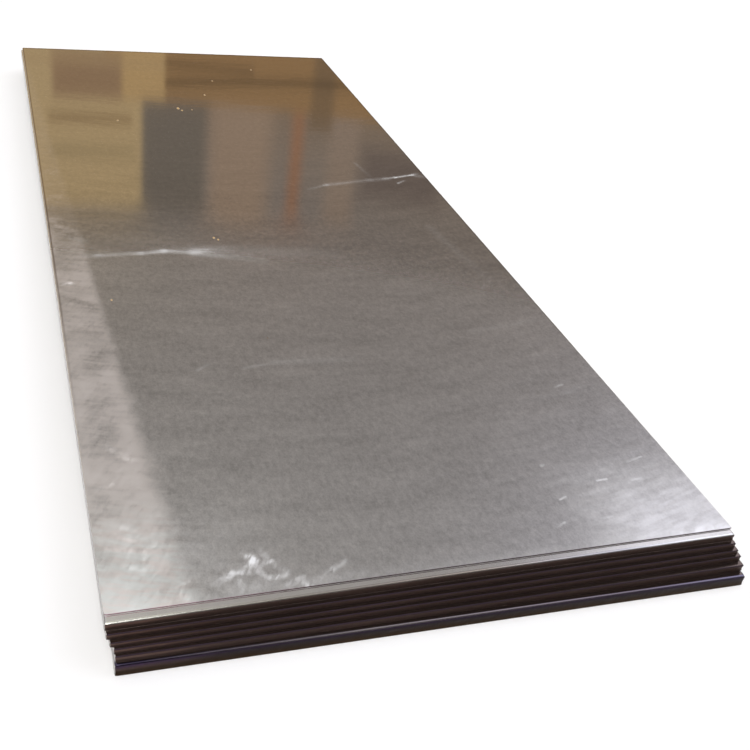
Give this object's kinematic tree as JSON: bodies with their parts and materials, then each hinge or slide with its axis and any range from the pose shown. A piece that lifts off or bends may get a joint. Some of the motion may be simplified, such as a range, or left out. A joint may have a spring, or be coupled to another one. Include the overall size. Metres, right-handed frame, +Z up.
{
  "type": "stack of aluminium plates",
  "caption": "Loose stack of large flat aluminium plates under one thin aluminium sheet, cut edges slightly out of line at the front end.",
  "frame": {"origin": "middle of the bottom plate's underside, on the floor", "axes": "+X to the right across the stack, +Y from the front end to the back end, +Z up"},
  "size_m": [1.2846, 3.1164, 0.093],
  "materials": {
    "sheet_metal": "bright mill finish, lightly scratched and smudged",
    "plate_metal": "mill finish with dark, dull cut edges"
  },
  "bodies": {
    "root": {"top_sheet": "sheet_metal", "plate_1": "plate_metal", "plate_2": "plate_metal", "plate_3": "plate_metal", "plate_4": "plate_metal", "plate_5": "plate_metal", "plate_6": "plate_metal"}
  },
  "joints": []
}
